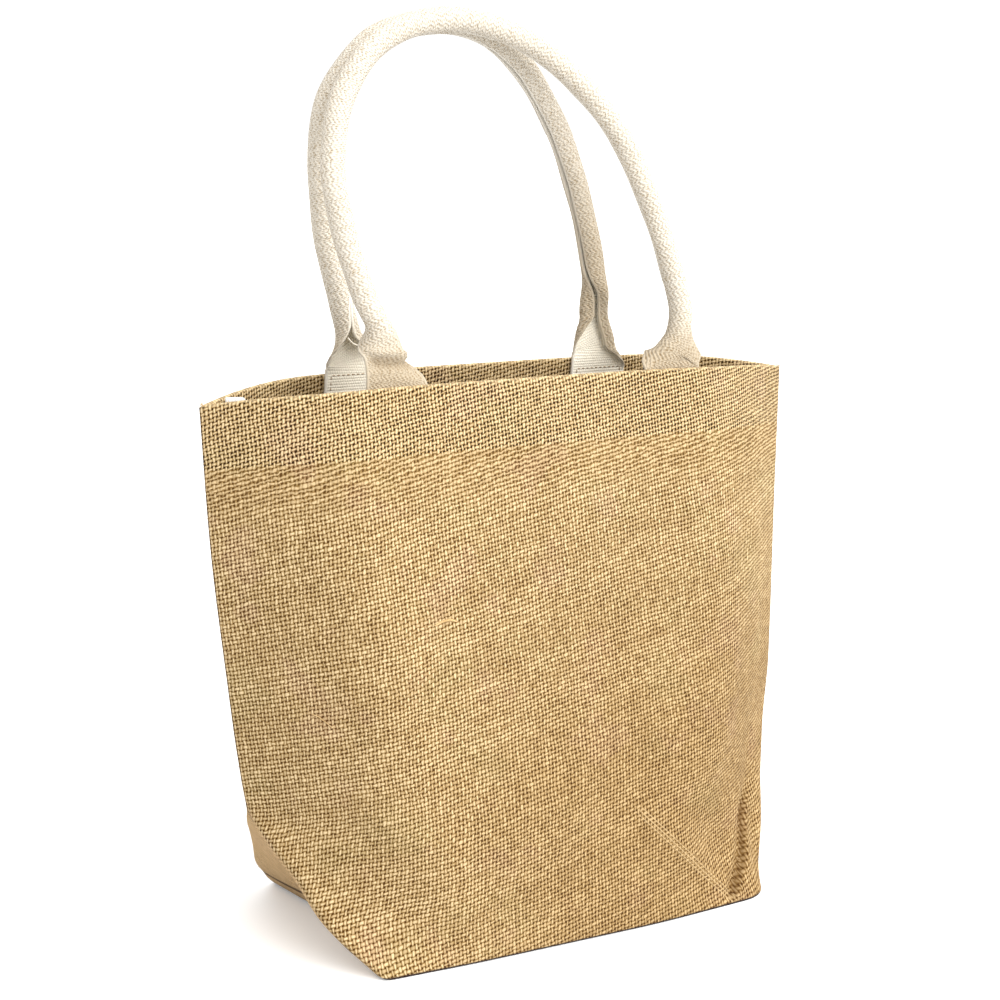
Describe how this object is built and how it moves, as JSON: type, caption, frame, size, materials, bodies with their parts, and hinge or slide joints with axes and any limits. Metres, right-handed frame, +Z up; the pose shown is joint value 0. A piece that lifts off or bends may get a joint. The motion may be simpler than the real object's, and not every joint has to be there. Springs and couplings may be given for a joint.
{
  "type": "jute tote bag",
  "caption": "Open-topped tote bag of plain-woven jute with a boxed base and tubular cotton webbing handles.",
  "frame": {"origin": "on the surface that the bag stands on, under the middle of the bag's own box", "axes": "+Z up through the mouth, +X along the mouth from one side seam to the other, -Y out of the front panel"},
  "size_m": [0.3885, 0.1673, 0.5365],
  "materials": {
    "jute": "coarse open plain weave, matt, uneven golden brown",
    "webbing": "herringbone cotton webbing, undyed, matt",
    "tape": "smooth white woven tape"
  },
  "bodies": {
    "root": {"body": "jute", "handle_front": "webbing", "handle_back": "webbing", "seam_tab": "tape"}
  },
  "joints": []
}
